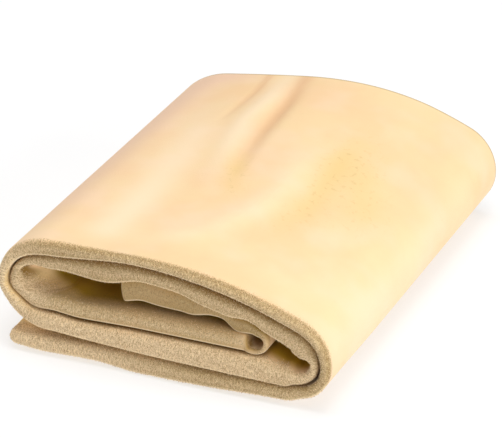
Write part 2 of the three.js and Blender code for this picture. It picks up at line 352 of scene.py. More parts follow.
def front_knots() -> tuple[FoldKnot, ...]:
    """Set the knots of the front folds, each from what its stretch shares.

    Returns:
        The knots, from the end of the tail inwards.
    """
    tail = partial(FoldKnot, Node.TAIL)
    right_outer = partial(FoldKnot, Node.RIGHT_OUTER)
    top = partial(FoldKnot, Node.TOP)
    left_outer = partial(FoldKnot, Node.LEFT_OUTER)
    lower = partial(FoldKnot, Node.LOWER)
    right_inner = partial(FoldKnot, Node.RIGHT_INNER, outer_pinch=0.9)
    inner_top = partial(FoldKnot, Node.INNER_TOP, recess=1.3, outer_pinch=1.0)
    left_inner = partial(FoldKnot, Node.LEFT_INNER, recess=1.4, lift=0.45, shade=0.32, inner_pinch=1.0)
    bowl = partial(FoldKnot, Node.LEFT_INNER, recess=1.5, lift=0.45, ochre=0.6, dusk=15.0, outer_pinch=0.25)
    foot = partial(FoldKnot, Node.LEFT_INNER, lift=0.45, ochre=0.6, outer_pinch=0.3)
    floor = partial(FoldKnot, Node.FLOOR, recess=2.0, lift=0.8, inner_reach=2.4)
    floor_end = partial(FoldKnot, Node.FLOOR, recess=2.0)
    curl = partial(FoldKnot, Node.CURL)
    tongue_root = partial(FoldKnot, Node.TONGUE, shade=1.0)
    tongue_bend = partial(FoldKnot, Node.TONGUE, nap=0.5, reach=2.0, inner_reach=2.0)
    tongue = partial(FoldKnot, Node.TONGUE, nap=0.5, shade=1.0, reach=3.0, inner_reach=3.0)
    return (
        tail(0.0, 1.8, 3.4, recess=0.6, lift=2.0, inner_reach=3.0, ochre=0.8),
        tail(0.12, 1.6, 3.6, recess=0.4, lift=1.3, inner_reach=2.6, ochre=0.4, inner_pinch=0.2),
        tail(0.3, 1.6, 3.6, recess=1.0, lift=1.5, inner_reach=2.0, inner_pinch=0.4),
        tail(0.46, 1.6, 3.6, recess=0.8, shade=0.22, inner_pinch=0.4),
        tail(0.7, 1.6, 3.6, recess=0.2, lift=0.6, shade=0.57, inner_pinch=0.4),
        right_outer(0.0, 1.6, 2.6, recess=0.2, lift=2.0, shade=0.62, inner_pinch=0.4),
        right_outer(0.14, 1.8, 2.0, recess=0.3, lift=2.4, swell=0.9, shade=0.62, inner_pinch=0.4),
        right_outer(0.32, 2.2, 1.6, recess=0.3, lift=0.8, swell=0.4, shade=0.8),
        right_outer(0.55, 2.2, 1.2, swell=-0.4, shade=0.74, reach=1.2),
        top(0.0, 2.2, 0.8, swell=-1.2, shade=0.58, reach=1.6),
        top(0.33, 2.2, 0.8, swell=-1.5, shade=0.66, reach=1.7),
        top(0.62, 2.2, 0.8, swell=-1.7, shade=0.62, reach=1.4),
        top(0.9, 2.4, 0.9, swell=-0.8, shade=0.62, reach=0.75),
        left_outer(0.1, 2.4, 1.2, shade=0.47, reach=0.6),
        left_outer(0.5, 2.2, 2.0, lift=0.6, nap=0.75, ochre=0.6),
        left_outer(0.66, 1.8, 2.0, lift=2.4, swell=2.2, nap=0.8, inner_reach=1.4, ochre=0.6),
        left_outer(0.85, 1.4, 2.6, lift=3.3, swell=2.0, nap=0.92, shade=0.12, inner_reach=1.4, ochre=0.3),
        lower(0.0, 1.2, 3.4, lift=3.4, swell=2.0, inner_reach=1.2, inner_pinch=0.8),
        lower(0.14, 1.2, 4.6, lift=2.6, swell=0.4, inner_pinch=1.0),
        lower(0.42, 1.2, 5.0, lift=1.2, swell=-0.5, inner_pinch=1.0),
        lower(0.78, 1.2, 5.0, lift=0.5, swell=-0.5, shade=0.06, inner_pinch=1.0),
        lower(0.84, 1.2, 5.0, lift=0.4, swell=-0.4, shade=0.1, dusk=6.0, inner_pinch=1.0),
        lower(0.89, 1.2, 5.0, recess=0.07, lift=0.31, swell=-0.31, shade=0.12, dusk=5.5, inner_pinch=0.9),
        lower(0.93, 1.2, 5.0, recess=0.17, lift=0.17, swell=-0.17, shade=0.14),
        right_inner(0.0, 1.2, 5.0, recess=0.3, shade=0.2, inner_reach=1.4, dusk=3.5, outer_pinch=0.3),
        right_inner(0.14, 1.6, 5.0, recess=0.5, lift=0.4, swell=-0.6, shade=0.2, dusk=3.0, outer_pinch=0.6),
        right_inner(0.36, 2.0, 4.0, recess=0.8, lift=0.9, swell=-1.0, shade=0.12, dusk=3.0),
        right_inner(0.6, 1.8, 1.6, recess=1.0, lift=1.0, swell=-2.2, shade=0.22),
        right_inner(0.66, 1.8, 1.4, recess=1.2, lift=1.0, swell=-1.0, shade=0.27),
        right_inner(0.75, 1.8, 1.8, recess=1.2, lift=1.0, swell=2.2, shade=0.32),
        right_inner(0.9, 1.8, 1.8, recess=1.3, lift=1.2, swell=2.4, shade=0.32, outer_pinch=1.0),
        inner_top(0.03, 1.8, 1.4, lift=1.4, swell=1.0, shade=0.37),
        inner_top(0.11, 1.8, 1.0, lift=1.6, swell=0.5, shade=0.42),
        inner_top(0.19, 1.8, 1.0, lift=1.7, swell=-0.8, shade=0.42),
        inner_top(0.28, 1.8, 1.0, lift=1.9, swell=1.5, shade=0.42),
        inner_top(0.37, 1.8, 1.0, lift=1.9, swell=1.4, shade=0.47),
        inner_top(0.49, 1.8, 1.0, lift=1.7, swell=-0.4, shade=0.52),
        inner_top(0.63, 1.8, 1.0, lift=1.4, swell=-0.7, shade=0.52),
        inner_top(0.77, 1.8, 1.0, lift=1.2, swell=1.9, shade=0.52, inner_pinch=0.6),
        inner_top(0.96, 1.8, 1.0, lift=0.6, swell=-1.8, shade=0.42, inner_pinch=0.8),
        left_inner(0.1, 2.0, 1.2, lift=0.5, swell=-2.2, shade=0.37, outer_pinch=0.9, inner_pinch=0.0),
        left_inner(0.24, 2.0, 1.4, lift=0.5, swell=-2.8, outer_pinch=0.6, inner_pinch=0.9),
        left_inner(0.33, 2.0, 2.0, swell=-3.0, dusk=12.0, outer_pinch=0.4),
        left_inner(0.37, 2.0, 2.6, swell=-2.6, inner_reach=1.6, dusk=14.0, outer_pinch=0.3),
        bowl(0.43, 2.0, 5.0, swell=-0.4, shade=0.42, inner_reach=2.4, ochre=0.4, inner_pinch=0.7),
        bowl(0.49, 2.0, 6.0, swell=0.2, shade=0.2, inner_reach=3.2, ochre=0.5, inner_pinch=0.2),
        bowl(0.56, 2.0, 6.0, swell=0.68, shade=0.1, inner_reach=3.6, ochre=0.5),
        bowl(0.7, 1.8, 6.0, recess=1.6, swell=1.57, nap=0.9, shade=0.12, inner_reach=3.6, dusk=13.0),
        foot(0.82, 1.6, 6.0, recess=1.6, swell=1.31, nap=0.85, shade=0.2, inner_reach=3.4, dusk=11.0),
        foot(0.92, 1.6, 6.0, recess=1.7, lift=0.6, swell=0.5, nap=0.8, shade=0.3, inner_reach=3.0, dusk=9.0),
        floor(0.0, 1.4, 6.0, recess=1.8, lift=0.7, swell=0.2, nap=0.75, shade=0.47, ochre=0.7, dusk=8.0),
        floor(0.13, 1.2, 4.0, recess=1.8, swell=0.3, nap=0.7, shade=0.52, ochre=0.4, dusk=4.5),
        floor(0.5, 1.2, 7.0, swell=0.6, nap=0.65, shade=0.57, inner_reach=2.6, dusk=6.0),
        floor(0.88, 1.2, 4.0, swell=0.8, nap=0.6, shade=0.57),
        floor_end(0.95, 1.2, 1.0, lift=0.7, swell=0.8, nap=0.5, shade=0.42, inner_reach=2.0),
        floor_end(0.965, 1.2, 1.0, lift=0.5, nap=0.3, shade=1.0, inner_pinch=1.0),
        floor_end(0.985, 1.2, 1.0, lift=0.2, swell=-1.0, nap=0.2, shade=0.8, inner_pinch=0.6),
        curl(0.0, 1.2, 1.2, recess=2.2, swell=-1.3, nap=0.2, shade=0.8, outer_pinch=0.8, inner_pinch=0.3),
        curl(0.25, 1.2, 1.2, recess=2.4, swell=-1.0, nap=0.5, shade=0.7, outer_pinch=0.4, inner_pinch=0.2),
        curl(0.55, 1.2, 1.2, recess=2.6, swell=-0.3, nap=0.5, shade=0.5, inner_pinch=0.2),
        tongue_root(0.0, 1.4, 1.2, recess=3.0, swell=2.0, nap=0.6, outer_pinch=0.8, inner_pinch=0.9),
        tongue_bend(0.12, 1.4, 1.2, recess=3.6, swell=4.6, shade=1.0, outer_pinch=1.0, inner_pinch=0.5),
        tongue_bend(0.26, 1.4, 1.0, recess=4.6, swell=0.8, shade=0.9, outer_pinch=0.6),
        tongue(0.36, 1.4, 1.0, recess=5.2, swell=2.0, shade=0.9),
        tongue(0.52, 1.6, 1.0, recess=5.4, swell=6.4),
        tongue(0.75, 1.6, 1.0, recess=5.4, swell=7.8),
        tongue(0.92, 1.6, 1.0, recess=5.2, swell=7.0),
    )


@dataclass(frozen=True)
class FrontFolds:
    """The front folds all along the skin, flowing from knot to knot."""

    knots: tuple[FoldKnot, ...] = field(default_factory=front_knots)

    def read(self, name: str, walk: np.ndarray) -> np.ndarray:
        """Read one of the knots' values along the skin.

        Args:
            name: The value's name.
            walk: Places, as counts of stretches from the end of the tail.

        Returns:
            The value at each place.
        """
        return flowing([(knot.walk, getattr(knot, name)) for knot in self.knots])(walk)

    def swell(self, node: Node, share: np.ndarray) -> np.ndarray:
        """Read how much fuller the doubled leather is at shares of a stretch."""
        return self.read("swell", list(Node).index(node) + share)


class Roll:
    """The line of the doubled skin through the roll, as the front view shows it."""

    def __init__(self, sizes: SkinSizes, folds: FrontFolds) -> None:
        """Work out the outline from the sizes.

        Args:
            sizes: The folded skin's sizes.
            folds: How its front folds lie.
        """
        self.folds = folds
        s = self.sizes = sizes
        self.lower_base = s.tail + s.gap
        self.floor_base = self.lower_base + s.lower + s.gap
        hollow_top = self.floor_base + s.floor + s.hollow_height
        self.height = hollow_top + s.inner_top + s.gap + s.top
        self.right_radius = self.lower_base + s.lower_end + s.right_hollow_half
        self.right_x = s.width / 2 - self.right_radius
        self.left_radius = (self.height - self.lower_base) / 2
        self.left_x = self.left_radius - s.width / 2
        self.crown_x = self.left_x + s.top_flat
        run = self.right_x - self.crown_x
        rise = self.height - self.right_radius
        over = rise - self.right_radius
        self.crown_radius = (rise**2 - self.right_radius**2 + run**2) / (2 * over)
        self.crown_angle = math.asin(run / (self.crown_radius - self.right_radius))
        self.crown_length = self.crown_radius * self.crown_angle
        self.top_length = self.crown_length + s.top_flat
        self.leaf_length = self.right_x - self.left_x
        self._ease_leaves()
        self._place_curl()

    def _ease_leaves(self) -> None:
        """Set how the thickness changes along the turns and the leaves between them."""
        s = self.sizes
        crown_share = self.crown_length / self.top_length
        self.right_outer = over_turn(s.tail, s.right_outer, s.top)
        self.top = eased((0, s.top), (crown_share, s.top), (1, s.top_left))
        self.left_outer = over_turn(s.top_left, s.left_outer, s.lower_start)
        self.lower = eased(
            (0, s.lower_start),
            (s.lower_swell / self.leaf_length, s.lower),
            (1 - s.lower_taper / self.leaf_length, s.lower),
            (1, s.lower_end),
        )
        self.right_inner = over_turn(s.lower_end, s.right_inner, s.inner_top)
        self.left_inner = over_turn(s.inner_top, s.left_inner, s.floor)

    def _place_curl(self) -> None:
        """Fit the curl between the floor leaf and the slope that the tongue follows."""
        s = self.sizes
        start = self.on_top(np.array([s.curl_setback]))
        depth = self.tongue_depth(np.array([0.0])) + s.curl / 2
        middle = start.moved_in(depth)
        slope = self.crown_angle - s.curl_setback / self.crown_radius
        self.curl_level = self.floor_base + s.curl / 2
        self.curl_radius = float(middle.z[0] - self.curl_level) / (1 + math.cos(slope))
        self.curl_x = float(middle.x[0]) - self.curl_radius * math.sin(slope)
        self.curl_angle = math.pi - slope
        self.floor_length = self.curl_x - self.left_x

    def tongue_along(self, share: np.ndarray) -> np.ndarray:
        """Return the length along the top at a share of the tongue."""
        return self.sizes.curl_setback + share * self.sizes.tongue_length

    def tongue_depth(self, share: np.ndarray) -> np.ndarray:
        """Return how deep the tongue's upper face lies under the outline."""
        along = self.tongue_along(share) / self.top_length
        return self.top(along) + self.sizes.inner_top + 2 * self.sizes.gap

    def on_base(self, x: np.ndarray) -> Line:
        """Return the base of the roll at given places across it."""
        none = np.zeros_like(x)
        return Line(x, none, none, none + 1)

    def on_right(self, share: np.ndarray) -> Line:
        """Return the right turn, from the base to the crown."""
        angle = -math.pi / 2 + share * (math.pi - self.crown_angle)
        return self._on_circle(self.right_x, self.right_radius, self.right_radius, angle)

    def on_left(self, share: np.ndarray) -> Line:
        """Return the left turn, from the top down onto the tail."""
        angle = math.pi / 2 + share * math.pi
        return self._on_circle(self.left_x, self.lower_base + self.left_radius, self.left_radius, angle)

    def on_top(self, length: np.ndarray) -> Line:
        """Follow the top at lengths measured leftwards from the end of the right turn.

        Args:
            length: The lengths.

        Returns:
            The places there.
        """
        angle = math.pi / 2 - np.maximum(0.0, self.crown_angle - length / self.crown_radius)
        flat = np.maximum(0.0, length - self.crown_length)
        crown = self._on_circle(self.crown_x, self.height - self.crown_radius, self.crown_radius, angle)
        return Line(crown.x - flat, crown.z, crown.in_x, crown.in_z)

    def on_curl(self, share: np.ndarray) -> Line:
        """Follow the curl, from the floor leaf up and back to the tongue.

        Args:
            share: Shares of the curl.

        Returns:
            The places there.
        """
        angle = -math.pi / 2 + share * self.curl_angle
        outer = self.curl_radius + self.sizes.curl / 2
        return self._on_circle(self.curl_x, self.curl_level + self.curl_radius, outer, angle)

    @staticmethod
    def _on_circle(x: float, z: float, radius: float, angle: np.ndarray) -> Line:
        """Return places on a circle, with the directions to its middle."""
        out_x, out_z = np.cos(angle), np.sin(angle)
        return Line(x + radius * out_x, z + radius * out_z, -out_x, -out_z)

    def settled(self, points: np.ndarray) -> np.ndarray:
        """Bring points down where the back left corner of the roll has settled.

        Args:
            points: Points of the even roll, in millimetres.

        Returns:
            The points in their final places.
        """
        s = self.sizes
        across = np.clip(1 - (points[..., 0] + s.width / 2) / s.drop_reach, 0, None)
        along = (points[..., 1] + s.length / 2) / s.length
        share = s.back_drop / self.height * across**s.drop_fade * along
        lowered = points.copy()
        lowered[..., 2] *= 1 - share
        return lowered

    def stretches(self, leaf_step: float, turn_step: float, curl_step: float) -> list[Stretch]:
        """List the stretches of the skin in order.

        Args:
            leaf_step: Distance between the stations of a leaf.
            turn_step: Angle between the stations of a turn, in degrees.
            curl_step: Angle between the stations of the curl, in degrees.

        Returns:
            The stretches, from the tail to the tongue.
        """
        s = self.sizes
        turn = math.radians(turn_step)
        right = even((math.pi - self.crown_angle) / turn)
        left = even(math.pi / turn)
        curl = even(self.curl_angle / math.radians(curl_step))
        tail_start = s.tail_inset - s.width / 2
        tail_length = self.right_x - tail_start
        lower_to_floor = self.floor_length / self.leaf_length

        def on_tail(share: np.ndarray) -> Line:
            """Return the tail's underside at a share of it."""
            return self.on_base(tail_start + share * tail_length)

        def on_leaf(share: np.ndarray) -> Line:
            """Return the base under the lower leaf at a share of it."""
            return self.on_base(self.left_x + share * self.leaf_length)

        def on_whole_top(share: np.ndarray) -> Line:
            """Return the top at a share of its length."""
            return self.on_top(share * self.top_length)

        def floor_place(share: np.ndarray) -> np.ndarray:
            """Return how high the floor leaf lies on the lower leaf."""
            return self.lower_base + self.lower(share * lower_to_floor) + s.gap

        def under_top(share: np.ndarray) -> np.ndarray:
            """Return how far the layers over the tongue push it down."""
            over = self.tongue_along(share) / self.top_length
            return swell(Node.TOP, over) + swell(Node.INNER_TOP, over)

        swell = self.folds.swell
        in_curl = eased((0, swell(Node.LOWER, lower_to_floor)), (1, under_top(0.0)))
        floor = eased(
            (0, s.floor),
            (1 - s.floor_step / self.floor_length, s.floor),
            (1 - (s.floor_step - s.floor_taper) / self.floor_length, s.curl),
            (1, s.curl),
        )
        return [
            Stretch(
                Node.TAIL,
                crowded_start(tail_length / leaf_step),
                on_tail,
                np.zeros_like,
                level(s.tail),
                open=lambda share: rounding(share * tail_length, s.tail_end),
                round_off=s.tail_round_off,
            ),
            Stretch(Node.RIGHT_OUTER, right, self.on_right, np.zeros_like, self.right_outer),
            Stretch(Node.TOP, even(self.top_length / leaf_step), on_whole_top, np.zeros_like, self.top),
            Stretch(Node.LEFT_OUTER, left, self.on_left, np.zeros_like, self.left_outer),
            Stretch(
                Node.LOWER,
                even(self.leaf_length / leaf_step),
                on_leaf,
                level(self.lower_base),
                self.lower,
            ),
            Stretch(
                Node.RIGHT_INNER,
                right,
                self.on_right,
                lambda share: self.right_outer(share) + s.gap,
                self.right_inner,
                lambda share: swell(Node.RIGHT_OUTER, share),
            ),
            Stretch(
                Node.INNER_TOP,
                even(self.top_length / leaf_step),
                on_whole_top,
                lambda share: self.top(share) + s.gap,
                level(s.inner_top),
                lambda share: swell(Node.TOP, share),
            ),
            Stretch(
                Node.LEFT_INNER,
                left,
                self.on_left,
                lambda share: self.left_outer(share) + s.gap,
                self.left_inner,
                lambda share: swell(Node.LEFT_OUTER, share),
            ),
            Stretch(
                Node.FLOOR,
                1 - crowded_start(self.floor_length / leaf_step)[::-1],
                lambda share: self.on_base(self.left_x + share * self.floor_length),
                floor_place,
                floor,
                lambda share: swell(Node.LOWER, share * lower_to_floor),
            ),
            Stretch(Node.CURL, curl, self.on_curl, np.zeros_like, level(s.curl), in_curl),
            Stretch(
                Node.TONGUE,
                1 - crowded_start(s.tongue_length / leaf_step)[::-1],
                lambda share: self.on_top(self.tongue_along(share)),
                self.tongue_depth,
                level(s.curl),
                under_top,
                lambda share: rounding((1 - share) * s.tongue_length, s.tongue_end),
                round_off=0.0,
            ),
        ]


def even(steps: float) -> np.ndarray:
    """Return shares from 0 to 1 with at least that many even steps."""
    return np.linspace(0.0, 1.0, math.ceil(steps) + 1)


def crowded_start(steps: float, crowding: float = 1.7) -> np.ndarray:
    """Return shares from 0 to 1 that lie closer together near 0.

    Args:
        steps: The least number of steps.
        crowding: The power that draws them together.

    Returns:
        The shares.
    """
    return even(steps * crowding) ** crowding


def rounding(distance: np.ndarray, reach: float, roundness: float = 2.4) -> np.ndarray:
    """Return a share that rounds off to 0 at a free end and is 1 beyond its reach.

    Args:
        distance: Distances from the end.
        reach: How far the rounding reaches.
        roundness: How square it is.

    Returns:
        The share at each distance.
    """
    part = np.clip(1 - distance / reach, 0, 1)
    return (1 - part**roundness) ** (1 / roundness)


@dataclass(frozen=True)
class Stroke:
    """A long soft mark on the top of the roll: a dent, a ridge or a change of colour.

    Attributes:
        width: Its half width, in millimetres.
        route: Places along it, seen from above.
        strengths: How strong it is at each of them; a ridge is a dent less than zero.
    """

    width: float
    route: Route
    strengths: tuple[float, ...]

    def at(self, x: np.ndarray, y: np.ndarray) -> np.ndarray:
        """Work out how strong the mark is at places seen from above.

        Args:
            x: Places across the roll.
            y: Places from its front to its back.

        Returns:
            The strength at each place.
        """
        nearest, strength = np.full(x.shape, np.inf), np.zeros(x.shape)
        stops = [(*place, strong) for place, strong in zip(self.route, self.strengths)]
        for (x0, y0, start), (x1, y1, end) in zip(stops, stops[1:]):
            along_x, along_y = x1 - x0, y1 - y0
            share = ((x - x0) * along_x + (y - y0) * along_y) / (along_x**2 + along_y**2)
            share = np.clip(share, 0, 1)
            distance = np.hypot(x - x0 - share * along_x, y - y0 - share * along_y)
            strength = np.where(distance < nearest, start + share * (end - start), strength)
            nearest = np.minimum(nearest, distance)
        return strength * np.exp(-((nearest / self.width) ** 2))


class TopMarks:
    """The soft marks on the top of the roll: its dents, and colours laid in places, partly painted shade and
    painted highlight.
    """

    GROOVE: Route = ((-13, 90), (-11, 61), (-10, 38), (-8, 15), (-4, -12))
    CREASE: Route = ((-29, 90), (-28, 74), (-29, 61), (-30, 48), (-31, 36))
    LEFT_SIDE: Route = ((-54, 90), (-58, 67), (-60, 20), (-60, -20), (-62, -62))
    LEFT_SHOULDER: Route = ((-38, 50), (-35, 24), (-32, -1), (-30, -42), (-31, -70))
    DENTS: tuple[Stroke, ...] = (
        Stroke(3.2, GROOVE, (1.7, 1.8, 1.5, 0.9, 0.0)),
        Stroke(4.5, ((-20, 90), (-20, 62), (-21, 43), (-17, 15), (-8, -20)), (-0.8, -1.0, -0.9, -0.6, 0.0)),
        Stroke(1.5, CREASE, (0.9, 0.9, 0.6, 0.4, 0.0)),
        Stroke(
            7.0,
            ((12, 28), (15, 10), (16, -6), (14, -30), (4, -56), (-14, -70)),
            (0.0, -0.8, -1.0, -1.0, -0.8, 0.0),
        ),
        Stroke(8.0, ((26, 40), (28, 15), (30, -4), (30, -20), (24, -46)), (0.0, 0.9, 1.0, 0.9, 0.0)),
        Stroke(8.0, ((-50, 90), (-46, 45), (-40, 0)), (0.7, 0.6, 0.0)),
    )
    TONES: dict[Tone, tuple[Stroke, ...]] = {
        Tone.MAUVE: (
            Stroke(11.0, LEFT_SIDE, (1.0, 1.0, 0.9, 0.8, 0.6)),
            Stroke(8.0, ((-52, 90), (-42, 88), (-34, 78)), (0.8, 0.6, 0.0)),
        ),
        # Pinkish brown along the groove and the crease, partly painted shade in the dents.
        Tone.ROSY: (
            Stroke(3.4, GROOVE, (1.0, 1.0, 0.9, 0.5, 0.0)),
            Stroke(1.6, CREASE, (0.9, 0.9, 0.6, 0.4, 0.0)),
            # Painted shade over the right of the top.
            Stroke(12.0, ((50, 86), (55, 64), (59, 40), (62, 17), (63, -10)), (0.1, 0.22, 0.22, 0.18, 0.0)),
        ),
        # Pale on the ridges, the left shoulder and the right side, partly painted highlight.
        Tone.PALE: (
            Stroke(4.5, ((-20, 90), (-20, 62), (-21, 43), (-18, 18), (-8, -29)), (0.6, 0.8, 0.8, 0.7, 0.0)),
            Stroke(
                6.5,
                ((12, 28), (15, 10), (16, -6), (14, -30), (1, -60), (-14, -71)),
                (0.2, 0.4, 0.3, 0.5, 0.4, 0.2),
            ),
            Stroke(9.0, LEFT_SHOULDER, (0.2, 0.6, 0.6, 0.9, 0.8)),
            Stroke(10.0, ((10, -76), (28, -68), (45, -67), (58, -60)), (0.0, 0.1, 0.15, 0.2)),
            # Painted highlight down the right side.
            Stroke(4.5, ((70, 60), (71, 20), (71, -40), (70, -78)), (0.2, 0.4, 0.5, 0.3)),
        ),
        Tone.GOLDEN: (
            Stroke(
                6.0,
                ((25, 42), (26, 32), (28, 15), (30, -4), (30, -20), (26, -40)),
                (0.2, 0.6, 0.8, 0.8, 0.7, 0.2),
            ),
            Stroke(9.0, ((30, 46), (36, 26), (42, 11), (48, -4), (48, -26)), (0.2, 0.7, 0.7, 0.6, 0.0)),
            Stroke(4.5, ((-8, 12), (-6, -1), (-1, -18), (2, -30)), (0.2, 0.9, 0.5, 0.0)),
        ),
    }


@dataclass
class Skin:
    """The whole doubled skin as one grid of points, in millimetres.

    Rows of the grid follow the roll. Columns go from one free edge at the back along the outer
    ply, round the front fold and along the inner ply to the other free edge.

    Attributes:
        roll: The roll that it follows.
        leaf_step: Distance between the rows of a leaf.
        turn_step: Angle between the rows of a turn, in degrees.
        curl_step: Angle between the rows of the curl, in degrees.
        ply_columns: Steps between the columns of a ply.
        nose_columns: Steps between the columns round the front fold.
        crowding: How strongly the columns of a ply gather near the fold.
        squareness: The power of the round of the fold, which is 2 in a circle.
        edge_wave: How far the free edges wander.
        edge_rate: How often they do, as an angle for each stretch.
        ripple_rate: How often a finer wave in them does.
        ripple: How far the finer wave goes against the other.
        inner_edge_phase: Where the waves of the inner ply's edge start.
        front_near: How far back the shape of the front folds is full.
        front_reach: Over what distance behind that it fades.
        front_fade: What share of it has faded then.
        dent_fade: Over what distance the dents fade out towards the back.
        funnel: How far the left end of the hollow narrows behind its mouth.
        funnel_depth: How far back it has narrowed.
        funnel_end: How far back it widens again, and over what distance.
        funnel_left: Where across the roll it narrows fully.
        funnel_right: Where across the roll it no longer does.
        nap_near: How far from the apex the fibres stand fully, against the reach of the nap.
        nap_far: How far from it the last of them stand.
        bare: How much a nap that doesn't show draws in.
        least_nap: The nap under which no fibres stand.
        dusk_reach: Over what distance the painted shade of the hollow sets in.
        rim_near: How far down the leather faces where its painted rim light starts.
        rim_far: How far down it faces where the painted rim light is full.
        outer_pinch_near: Where the painted shade of a gap starts on the outer ply, against half the
            thickness.
        inner_pinch_near: Where it starts on the inner ply.
        pinch_far: Where it is full.
        pinch_fade: Where it fades, and over what distance.
        cut_edge: The width of the cut edge.
        starts: The row at which each stretch starts.
    """

    roll: Roll
    leaf_step: float = 1.6
    turn_step: float = 3.0
    curl_step: float = 1.5
    ply_columns: int = 60
    nose_columns: int = 24
    crowding: float = 1.7
    squareness: float = 2.5
    edge_wave: float = 1.2
    edge_rate: float = 2.1
    ripple_rate: float = 5.3
    ripple: float = 0.6
    inner_edge_phase: float = 2.0
    front_near: float = 11.0
    front_reach: float = 45.0
    front_fade: float = 0.75
    dent_fade: float = 35.0
    funnel: float = 9.0
    funnel_depth: float = 17.0
    funnel_end: float = 34.0
    funnel_left: float = -57.0
    funnel_right: float = -28.0
    nap_near: float = 0.6
    nap_far: float = 1.5
    bare: float = 2.0
    least_nap: float = 0.55
    dusk_reach: float = 7.0
    rim_near: float = 0.2
    rim_far: float = 0.6
    outer_pinch_near: float = 0.1
    inner_pinch_near: float = 0.8
    pinch_far: float = 1.5
    pinch_fade: float = 3.0
    cut_edge: float = 0.5
    starts: dict[Node, int] = field(default_factory=dict)

    def __post_init__(self) -> None:
        """Lay the grid."""
        self._walk_roll()
        sink, forward = self._hairpin()
        line = self.line
        x = line.x[:, None] + line.in_x[:, None] * sink
        z = line.z[:, None] + line.in_z[:, None] * sink
        x = x + self._narrowing(x, forward + self.roll.sizes.length / 2)
        self.places = self.roll.settled(np.stack([x, forward, z], axis=-1))
        self.normals = self._facing()
        self._press_dents()
        self._measure()
        self._mark_fields()

    def _walk_roll(self) -> None:
        """Walk the roll from the tail to the tongue and keep what each station needs."""
        read = self.roll.folds.read
        stretches = self.roll.stretches(self.leaf_step, self.turn_step, self.curl_step)
        rows: list[np.ndarray] = []
        count = 0
        for number, stretch in enumerate(stretches):
            shares = stretch.shares[min(number, 1) :]
            self.starts[stretch.node] = count - min(number, 1)
            count += len(shares)
            walk = number + shares
            spot, push = stretch.spot(shares), stretch.push(shares)
            outer = stretch.depth(shares)
            inner = outer + stretch.thickness(shares)
            closed = 1 - stretch.open(shares)
            off = np.full_like(shares, stretch.round_off)
            line = (spot.x, spot.z, spot.in_x, spot.in_z)
            fronts = (push + read("lift", walk), push + read("swell", walk))
            rows.append(np.stack([*line, walk, outer, inner, *fronts, closed, off]))
        x, z, in_x, in_z, *rest = np.concatenate(rows, axis=1)
        self.line = Line(x, z, in_x, in_z)
        self.walk, self.outer, self.inner, *rest = rest
        self.outer_front, self.inner_front, self.closed, self.off = rest

    def _faces(self, from_front: np.ndarray) -> tuple[np.ndarray, np.ndarray]:
        """Return how deep the middles of the two plies lie at distances from the front folds.

        Args:
            from_front: Distances, one row a station.

        Returns:
            The depths of the outer and of the inner ply.
        """
        ply = self.roll.sizes.ply
        shown = 1 - self.front_fade * smooth((from_front - self.front_near) / self.front_reach)
        outer = self.outer[:, None] + self.outer_front[:, None] * shown
        inner = np.maximum(self.inner[:, None] + self.inner_front[:, None] * shown, outer + 2 * ply)
        spare = (inner - outer - 2 * ply) * self.closed[:, None]
        outer = outer + spare * self.off[:, None]
        inner = inner - spare * (1 - self.off[:, None])
        return outer + ply / 2, inner - ply / 2

    def _hairpin(self) -> tuple[np.ndarray, np.ndarray]:
        """Shape the section of the doubled leather at every station.

        Returns:
            How deep each point lies inside the outline, and its place from front to back.
        """
        s, read = self.roll.sizes, self.roll.folds.read
        tip = (read("recess", self.walk) + s.ply / 2 - s.length / 2)[:, None]
        outer_base = tip + read("outer", self.walk)[:, None]
        inner_base = tip + read("inner", self.walk)[:, None]
        steps = np.linspace(0, 1, self.ply_columns + 1)
        away = (np.expm1(self.crowding * steps) / math.expm1(self.crowding))[None, :]
        angle = np.linspace(-math.pi / 2, math.pi / 2, self.nose_columns + 1)[1:-1]
        forward, across = np.cos(angle), np.sin(angle)
        radius = (forward**self.squareness + np.abs(across) ** self.squareness) ** (-1 / self.squareness)
        base = np.where(angle < 0, outer_base, inner_base)
        turn = base - (base - tip) * radius * forward
        outer_ply = outer_base + (self._back_edge(0.0) - outer_base) * away
        inner_ply = inner_base + (self._back_edge(self.inner_edge_phase) - inner_base) * away
        outer_sink = self._faces(outer_ply + s.length / 2)[0]
        inner_sink = self._faces(inner_ply + s.length / 2)[1]
        low, high = self._faces(np.zeros_like(tip))
        self.half = (high - low)[:, 0] / 2 + s.ply / 2
        nose_sink = (low + high) / 2 + (high - low) / 2 * radius * across
        sink = np.concatenate([outer_sink[:, ::-1], nose_sink, inner_sink], axis=1)
        return sink, np.concatenate([outer_ply[:, ::-1], turn, inner_ply], axis=1)

    def _narrowing(self, x: np.ndarray, from_front: np.ndarray) -> np.ndarray:
        """Return how far to the right the left end of the hollow lies behind its mouth.

        Args:
            x: Places across the roll.
            from_front: Their distances from the front of the roll.

        Returns:
            The moves, which are zero away from the inner ply of the inner left turn.
        """
        share = smooth(from_front / self.funnel_depth)
        share = share * (1 - smooth((from_front - self.funnel_end) / self.funnel_end))
        share = share * (1 - smooth((x - self.funnel_left) / (self.funnel_right - self.funnel_left)))
        share[: self.starts[Node.INNER_TOP]] = 0.0
        share[self.starts[Node.CURL] :] = 0.0
        share[:, : share.shape[1] // 2] = 0.0
        return self.funnel * share

    def _back_edge(self, phase: float) -> np.ndarray:
        """Work out where a ply's free edge lies, a little uneven along the skin.

        Args:
            phase: Where its waves start.

        Returns:
            Its place from front to back, one row a station.
        """
        wave = np.sin(self.edge_rate * self.walk + phase)
        wave = wave + self.ripple * np.sin(self.ripple_rate * self.walk + 2 * phase)
        share = 0.5 + wave / (2 * (1 + self.ripple))
        return (self.roll.sizes.length / 2 - self.edge_wave * share)[:, None]

